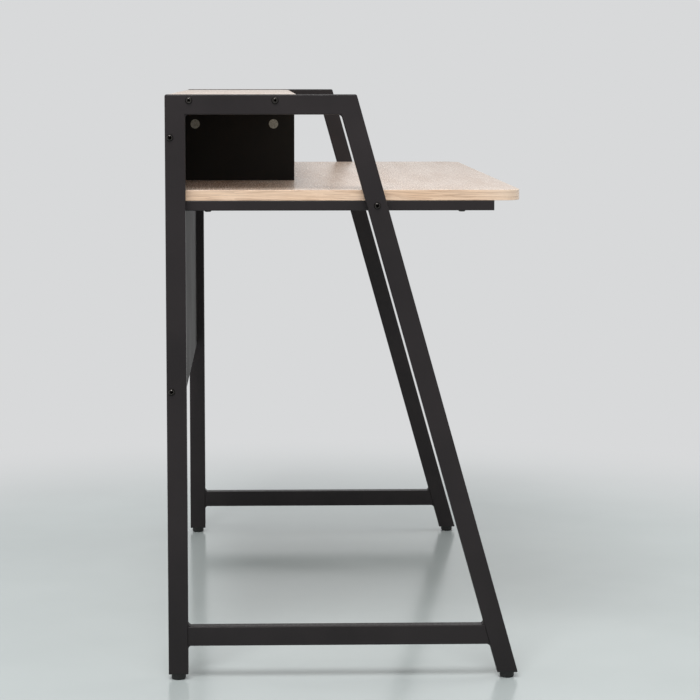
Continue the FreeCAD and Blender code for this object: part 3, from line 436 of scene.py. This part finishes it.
# %% [markdown]
# ## Threaded studs for the feet
#
# With the feet screwed in, the studs are hidden. Screwed out, they show their thread, and
# a plain rod would look wrong, so each stud is worked out as one skin over a grid of
# turns and heights. At height h and angle a the thread's depth depends only on how far
# the point is up its own helix, h / pitch - a / one turn, which makes a single unbroken
# right-hand groove.

# %% Threaded studs
PITCH, THREAD_DEPTH = 1.25 * MM, 0.68 * MM
RIDGE_SLOPE, RIDGE_SINK = 1.25, 0.125
STUD_RADIUS, STUD_TIP = 4 * MM, 0.8 * MM
STUD_HEAD, HEAD_EDGE, NECK = 2.5 * MM, 0.3 * MM, 1.0 * MM
COLUMNS, ROWS_EACH_TURN = 40, 10
SMOOTH_UP_TO = 35


def mesh_piece(name, points, faces, material, body):
    """A piece from points and faces, shaded smooth but for sharp edges, riding on a body."""
    mesh = bpy.data.meshes.new(name)
    mesh.from_pydata(points.tolist(), [], faces)
    mesh.materials.append(material)
    mesh.polygons.foreach_set("use_smooth", [True] * len(mesh.polygons))
    mesh.set_sharp_from_angle(angle=math.radians(SMOOTH_UP_TO))
    mesh.update()
    piece = bpy.data.objects.new(name, mesh)
    bpy.context.scene.collection.objects.link(piece)
    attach(piece, body)
    return piece


def turned_skin(rings):
    """Points and faces of a closed turned skin, about the Z axis.

    rings is an array of radii, one row for each height and one column for each angle, with
    the heights in its last column. A point is (r cos a, r sin a, height). The ends close
    on a point of the axis at the first and the last height.
    """
    radii, heights = rings[:, :-1], rings[:, -1]
    rows, columns = radii.shape
    angles = np.linspace(0, 2 * np.pi, columns, endpoint=False)
    z = np.repeat(heights[:, None], columns, axis=1)
    walls = np.stack([radii * np.cos(angles), radii * np.sin(angles), z], axis=-1)
    poles = np.array([[0, 0, heights[0]], [0, 0, heights[-1]]])
    points = np.vstack([walls.reshape(-1, 3), poles])
    here = np.arange(rows * columns).reshape(rows, columns)
    ahead = np.roll(here, -1, axis=1)
    walls = np.stack([here[:-1], ahead[:-1], ahead[1:], here[1:]], axis=-1).reshape(-1, 4)
    low, high = rows * columns, rows * columns + 1
    faces = walls.tolist()
    faces += [[low, b, a] for a, b in zip(here[0].tolist(), ahead[0].tolist())]
    faces += [[high, a, b] for a, b in zip(here[-1].tolist(), ahead[-1].tolist())]
    return points, faces


def threaded_stud(node):
    """The stud of one foot: flat head, plain neck, thread, and a chamfered tip.

    The ridge is a trapezium of how far the point is up its own helix, 1 on the crest and 0
    in the groove, each flat for a tenth of the pitch. It grows over the first turn, and no
    radius passes the limit that the tip's chamfer sets.
    """
    low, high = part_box(node)
    centre = ((low.x + high.x) / 2, (low.y + high.y) / 2)
    head, neck = (high.x - low.x) / 2, low.z + STUD_HEAD
    plain = [(head - HEAD_EDGE, low.z), (head, low.z + HEAD_EDGE), (head, neck - HEAD_EDGE)]
    plain += [(head - HEAD_EDGE, neck), (STUD_RADIUS - THREAD_DEPTH, neck)]
    start = neck + NECK
    turns = (high.z - start) / PITCH
    heights = np.linspace(start, high.z, int(turns * ROWS_EACH_TURN) + 1)
    angles = np.arange(COLUMNS) / COLUMNS
    along = (heights[:, None] / PITCH - angles[None, :]) % 1.0
    ridge = np.clip(RIDGE_SLOPE * (1 - np.abs(2 * along - 1)) - RIDGE_SINK, 0, 1)
    limit = np.minimum(STUD_RADIUS, STUD_RADIUS - STUD_TIP + (high.z - heights))
    fade = np.clip((heights - start) / PITCH, 0, 1)
    radii = STUD_RADIUS - THREAD_DEPTH * (1 - ridge * fade[:, None])
    radii = np.minimum(radii, limit[:, None])
    rings = np.vstack(
        [[radius] * COLUMNS + [height] for radius, height in plain]
        + [np.hstack([radii, heights[:, None]])]
    )
    points, faces = turned_skin(rings)
    points += (*centre, 0)
    body = node.replace("_stud", "_screw")
    piece = mesh_piece(f"{node}_thread", points, faces, zinc_plate, body)
    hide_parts(node)
    return len(faces)


for node in sorted(n for n in frame["nodes"] if n.endswith("_foot_stud")):
    print(node, "thread has", threaded_stud(node), "faces")

# %% [markdown]
# ## Button-head bolts
#
# The bolt heads are low domes with a hexagon socket. A real socket ends in the cone of the
# drill that opened it, and the cone throws the light against the socket's walls, so the
# middle of the head looks black with one small glint. A flat bottom would mirror the room
# and look pale. One skin makes the whole bolt, from the tip of that cone, up the socket's
# six walls, over the dome and down the shank. Only the socket's rows change with the
# angle: a hexagon's edge is at half its width over the cosine of the angle from the
# middle of the nearest side.

# %% Bolts
HEAD, HEAD_THICK, CROWN, RIM = 10.5 * MM, 3.3 * MM, 2.89 * MM, 0.66 * MM
KEY, SOCKET, DRILL_POINT = 4 * MM, 2 * MM, 1.4 * MM
SHANK, TIP = 6 * MM, 0.8 * MM
SOCKET_EDGE, RIM_EDGE, CONE_TIP = 0.12 * MM, 0.1 * MM, 0.02
BOLT_COLUMNS, DOME_ROWS = 72, 9


def bolt_rings(length):
    """A bolt's radii and heights: the head's top is at 0 and the shank runs down to + length.

    The dome is an arc as wide in radius as half the head. It leaves the crown at the angle
    of its chord less half the arc's own angle, and meets the rim at the two added.
    """
    angles = np.linspace(0, 2 * np.pi, BOLT_COLUMNS, endpoint=False)
    hexagon = KEY / 2 / np.cos((angles + np.pi / 6) % (np.pi / 3) - np.pi / 6)
    run, rise = HEAD / 2 - CROWN, HEAD_THICK - RIM
    chord, half = np.arctan2(rise, run), np.arcsin(np.hypot(run, rise) / HEAD)
    slopes = np.linspace(chord - half, chord + half, DOME_ROWS)
    dome_radii = CROWN + HEAD / 2 * (np.sin(slopes) - np.sin(slopes[0]))
    dome_depths = HEAD / 2 * (np.cos(slopes[0]) - np.cos(slopes))
    rows = [(CONE_TIP * hexagon, SOCKET + DRILL_POINT), (hexagon, SOCKET)]
    rows += [(hexagon, SOCKET_EDGE), (hexagon + SOCKET_EDGE, 0)]
    rows += list(zip(dome_radii, dome_depths))
    rows += [(HEAD / 2, HEAD_THICK - RIM_EDGE), (HEAD / 2 - RIM_EDGE, HEAD_THICK)]
    rows += [(SHANK / 2, HEAD_THICK), (SHANK / 2, HEAD_THICK + length - TIP)]
    rows += [(SHANK / 2 - TIP, HEAD_THICK + length)]
    return np.array([[*np.broadcast_to(radius, BOLT_COLUMNS), height] for radius, height in rows])


def bolts(node, length):
    """Every bolt of a node, in place: the node's box is a head's radius wider than their axes."""
    low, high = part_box(node)
    points, faces = turned_skin(bolt_rings(length))
    across = [sorted({round(low[i] + HEAD / 2, 5), round(high[i] - HEAD / 2, 5)}) for i in (1, 2)]
    spots = [(side, y, z) for side in (-1, 1) for y in across[0] for z in across[1]]
    skins, walls = [], []
    for side, y, z in spots:
        x = side * (high.x - points[:, 2])
        skins.append(np.stack([x, y - side * points[:, 0], z + points[:, 1]], axis=-1))
        start = len(points) * (len(skins) - 1)
        walls += [[start + corner for corner in face] for face in faces]
    piece = mesh_piece(
        f"{node}_socket_heads", np.vstack(skins), walls, black_oxide, "desk_frame",
    )
    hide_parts(node)
    return spots


for node, length in (
    ("shelf_bolts", 60 * MM), ("back_panel_bolts", 60 * MM), ("support_rail_bolts", 30 * MM),
):
    print(node, "at", [[round(v, 4) for v in spot] for spot in bolts(node, length)])

# %% [markdown]
# ## Weld beads
#
# The tubes are joined by short fillet welds in their inner corners. A weld laid with a
# wire freezes in overlapping crescents, and the coat of powder only softens them. The CAD
# beads are plain hollow fillets, so each one is worked out again over a grid of lengths
# and widths: the same fillet, with low ripples that curve across it. They are drawn 2 mm
# apart, as on the real bead.

# %% Weld beads
WELD_LEG, WELD_LENGTH, WELD_HOLLOW = 3.5 * MM, 16 * MM, 0.45 * MM
RIPPLE, RIPPLE_HEIGHT = 2 * MM, 0.45 * MM
CREST_BEND, CREST_SHAPE, EDGE_WAVE = 0.45, 0.6, 0.05
ROWS_ALONG, ROWS_ACROSS = 81, 13
FRAME_MIDDLE = 0.54
TO_BACK, TO_FRONT, UPWARDS, DOWNWARDS = (1, 0), (-1, 0), (0, 1), (0, -1)
UP_THE_LEG, DOWN_THE_LEG = (0.27195, 0.96231), (-0.27195, -0.96231)
# Each weld has its corner (Y, Z) and the ways that its two tubes lead away from it.
WELDS = (
    ((0.23725, 0.86), DOWNWARDS, TO_FRONT),
    ((0.00445, 0.86), TO_BACK, DOWN_THE_LEG),
    ((0.23725, 0.083), TO_FRONT, UPWARDS),
    ((0.23725, 0.053), DOWNWARDS, TO_FRONT),
    ((-0.21514, 0.083), TO_BACK, UP_THE_LEG),
    ((-0.22362, 0.053), TO_BACK, DOWN_THE_LEG),
)


def bead(corner, first, second, middle):
    """One bead: corner + leg * (first (1 - v) + second v) + outwards * height(u, v).

    u runs along the bead and v across it, both from 0 to 1. The height is a hollow,
    -4 v (1 - v), and a ripple, a raised cosine of u whose crests curve back with v. The
    two sides that lie on the tubes close the skin through the corner.
    """
    first, second = np.array(first), np.array(second)
    if first[0] * second[1] < first[1] * second[0]:
        first, second = second, first
    outwards = (first + second) / np.linalg.norm(first + second)
    along, across = np.linspace(0, 1, ROWS_ALONG), np.linspace(0, 1, ROWS_ACROSS)
    u, v = np.meshgrid(along, across, indexing="ij")
    arch = 4 * v * (1 - v)
    crest = 0.5 + 0.5 * np.cos(2 * np.pi * (u * WELD_LENGTH / RIPPLE + CREST_BEND * arch))
    height = arch * (RIPPLE_HEIGHT * crest ** CREST_SHAPE - WELD_HOLLOW)
    leg = WELD_LEG * (1 + EDGE_WAVE * np.cos(2 * np.pi * u * WELD_LENGTH / RIPPLE))
    flat = leg[..., None] * (first * (1 - v[..., None]) + second * v[..., None])
    skin = np.array(corner) + flat + outwards * height[..., None]
    root = np.broadcast_to(np.array(corner), (len(u), 1, 2))
    loops = np.concatenate([root, skin], axis=1)
    x = middle + WELD_LENGTH * (np.broadcast_to(u[:, :1], loops.shape[:2]) - 0.5)
    points = np.concatenate([x[..., None], loops], axis=-1)
    here = np.arange(points[..., 0].size).reshape(x.shape)
    ahead = np.roll(here, -1, axis=1)
    walls = np.stack([here[:-1], ahead[:-1], ahead[1:], here[1:]], axis=-1).reshape(-1, 4)
    ends = [here[0, ::-1].tolist(), here[-1].tolist()]
    return points.reshape(-1, 3), walls.tolist() + ends


for side, sign in (("left", -1), ("right", 1)):
    skins, walls = [], []
    for corner, first, second in WELDS:
        points, faces = bead(corner, first, second, sign * FRAME_MIDDLE)
        start = sum(len(skin) for skin in skins)
        walls += [[start + spot for spot in face] for face in faces]
        skins.append(points)
    piece = mesh_piece(
        f"{side}_rippled_welds", np.vstack(skins), walls, powder_coat, "desk_frame",
    )
    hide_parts(f"{side}_weld_beads")
    print(piece.name, "has", len(walls), "faces in", len(skins), "beads")

# %% [markdown]
# ## The floor and the pale backdrop
#
# The photograph's floor is a pale, faintly blue-green sheet with a soft shine, in front of
# a pale grey wall. A wall would hide the desk from its other sides, so the floor is one
# large sheet that fades into the wall's grey at some distance all round, as a curved paper
# backdrop does. The fade depends only on how far a point is from the desk. It is seen by
# the camera and in reflections, and lights nothing. The floor is not part of the desk. It
# goes down with the left back foot, so when all the feet are screwed out the desk stands
# on it.

# %% Floor
FLOOR_HALF = 30.0
FADE_START, FADE_END = 0.8, 1.7
WEAR = 0.35
WALL = "#d8d9da"


def seen_rays(tree):
    """1 for a ray from the camera, a reflection or a transmission, and 0 for any other."""
    rays = add(tree, "LightPath").outputs
    either = add(tree, "Math", {
        0: rays["Is Camera Ray"], 1: rays["Is Glossy Ray"],
    }, operation="MAXIMUM")
    return add(tree, "Math", {
        0: either.outputs["Value"], 1: rays["Is Transmission Ray"],
    }, operation="MAXIMUM").outputs["Value"]


floor_paint, tree, shader, place = new_material("floor_lacquer", IOR=1.45)
wear = add(tree, "TexNoise", {"Vector": place, "Scale": 1 / WEAR, "Detail": 3.0})
colour_by(tree, shader, wear.outputs["Fac"], "#c8d0cf", "#ced6d5")
gloss_by(tree, shader, wear.outputs["Fac"], 0.14, 0.2)
away = add(tree, "VectorMath", {0: place}, operation="LENGTH")
fade = add(tree, "MapRange", {
    "Value": away.outputs["Value"], "From Min": FADE_START, "From Max": FADE_END,
}, interpolation_type="SMOOTHSTEP")
faded = add(tree, "Math", {0: fade.outputs["Result"], 1: seen_rays(tree)}, operation="MULTIPLY")
backdrop = add(tree, "Emission", {"Color": linear(WALL), "Strength": 1.0})
sheet = add(tree, "MixShader", {
    0: faded.outputs["Value"], 1: shader.outputs["BSDF"], 2: backdrop.outputs["Emission"],
})
tree.links.new(sheet.outputs["Shader"], tree.nodes["Material Output"].inputs["Surface"])

corners = [(x * FLOOR_HALF, y * FLOOR_HALF, 0) for x, y in ((-1, -1), (1, -1), (1, 1), (-1, 1))]
floor_mesh = bpy.data.meshes.new("floor")
floor_mesh.from_pydata(corners, [], [(0, 1, 2, 3)])
floor_mesh.materials.append(floor_paint)
floor = bpy.data.objects.new("floor", floor_mesh)
bpy.context.scene.collection.objects.link(floor)
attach(floor, "left_back_foot")
print("floor fades between", FADE_START, "and", FADE_END, "m")

# %% [markdown]
# ## Soft studio light
#
# The photograph's light comes from high on the camera's side and a little from the wall
# side: the bolt heads have a bright rim at their upper left, and the desktop under the
# shelf is dark but for its outermost strip. So one large soft lamp hangs there and a
# second one overhead keeps the top faces even. Four weak broad ones stand round the desk
# and light its upright faces. They stand low, so they don't fill in the shadow under the
# shelf, and they are left out of reflections, where they would put a glare on the floor.
# The world adds only a little. Together they light a level face and an upright one so
# that a colour comes out about as it is written.

# %% World and lamps
ROOM_COLOUR, ROOM_STRENGTH = "#f3f6f8", 0.3
LOW_LAMP_SIZE, LOW_LAMP_AIM = 1.6, (0, 0, 0.6)

world = bpy.data.worlds.new("studio")
world.use_nodes = True
bpy.context.scene.world = world
tree = world.node_tree
room = tree.nodes["Background"]
room.inputs["Color"].default_value = linear(ROOM_COLOUR)
room.inputs["Strength"].default_value = ROOM_STRENGTH
wall = add(tree, "Background", {"Color": linear(WALL), "Strength": 1.0})
choice = add(tree, "MixShader", {
    0: seen_rays(tree), 1: room.outputs["Background"], 2: wall.outputs["Background"],
})
tree.links.new(choice.outputs["Shader"], tree.nodes["World Output"].inputs["Surface"])


def soft_lamp(name, place, aim, size, power, mirrored=True):
    """A square soft light of a size in metres and a power in watts, aimed at a point."""
    light = bpy.data.lights.new(name, "AREA")
    light.shape = "SQUARE"
    light.size = size
    light.energy = power
    lamp = bpy.data.objects.new(name, light)
    lamp.location = place
    lamp.rotation_euler = (Vector(aim) - Vector(place)).to_track_quat("-Z", "Y").to_euler()
    lamp.visible_camera = False
    lamp.visible_glossy = mirrored
    bpy.context.scene.collection.objects.link(lamp)


soft_lamp("key", (-1.7, 0.5, 2.7), aim=(-0.2, 0, 0.7), size=1.0, power=44)
soft_lamp("overhead", (0.4, -0.5, 3.2), aim=(0.1, 0, 0.7), size=1.4, power=11)
for name, place, power in (
    ("left_side", (-2.8, -0.6, 1.5), 15),
    ("front", (0.5, -3.2, 0.9), 30),
    ("right_side", (3.3, -0.4, 0.9), 30),
    ("rear", (-0.4, 3.2, 0.9), 26),
):
    soft_lamp(name, place, LOW_LAMP_AIM, LOW_LAMP_SIZE, power, mirrored=False)

# %% [markdown]
# ## Close the scene
#
# The last cell sets the standard view, which keeps each colour as it is written.

# %% Finish
bpy.context.scene.view_settings.view_transform = "Standard"
